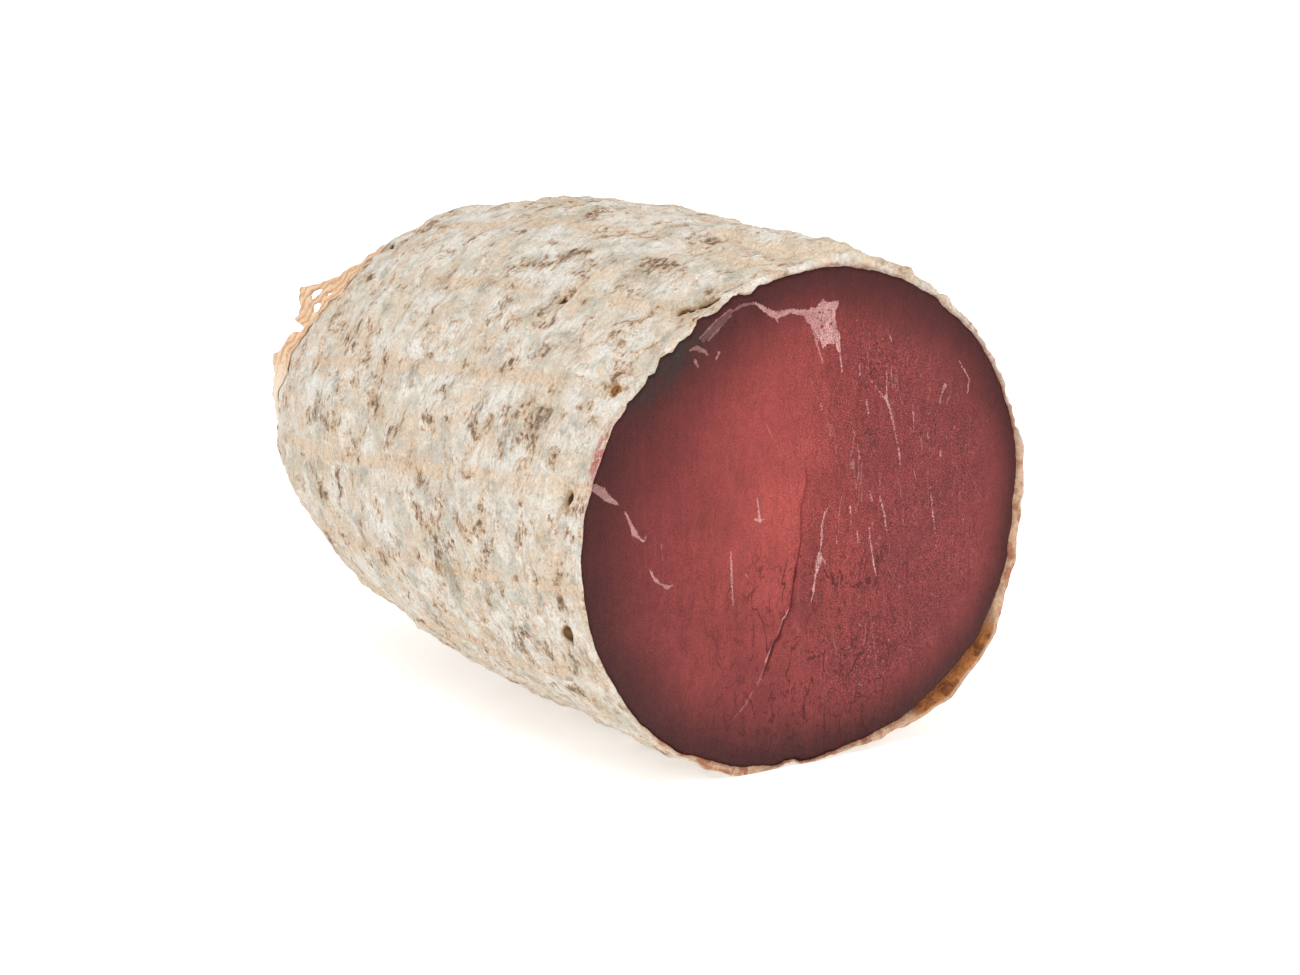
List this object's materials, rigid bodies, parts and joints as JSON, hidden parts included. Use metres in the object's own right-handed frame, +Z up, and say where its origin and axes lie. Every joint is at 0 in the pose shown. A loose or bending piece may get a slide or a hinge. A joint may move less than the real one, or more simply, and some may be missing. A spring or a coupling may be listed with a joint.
{
  "type": "half bresaola, cured beef",
  "caption": "Half of an air-dried beef bresaola in its mouldy rind, round at one end and cut flat across at the other, lying on its side.",
  "frame": {"origin": "under the middle of the whole piece, on the surface it rests on", "axes": "+Z up, the long axis along Y with the cut face towards -Y and the round end towards +Y, +X to the right of someone who looks along +Y"},
  "size_m": [0.1254, 0.1746, 0.1155],
  "materials": {
    "rind": "matt, mouldy, cream and grey",
    "meat": "satin, moist, deep red cut face",
    "net": "matt, dry, pale tan"
  },
  "bodies": {
    "root": {"bresaola": "rind", "net_cuff": "net"}
  },
  "joints": []
}
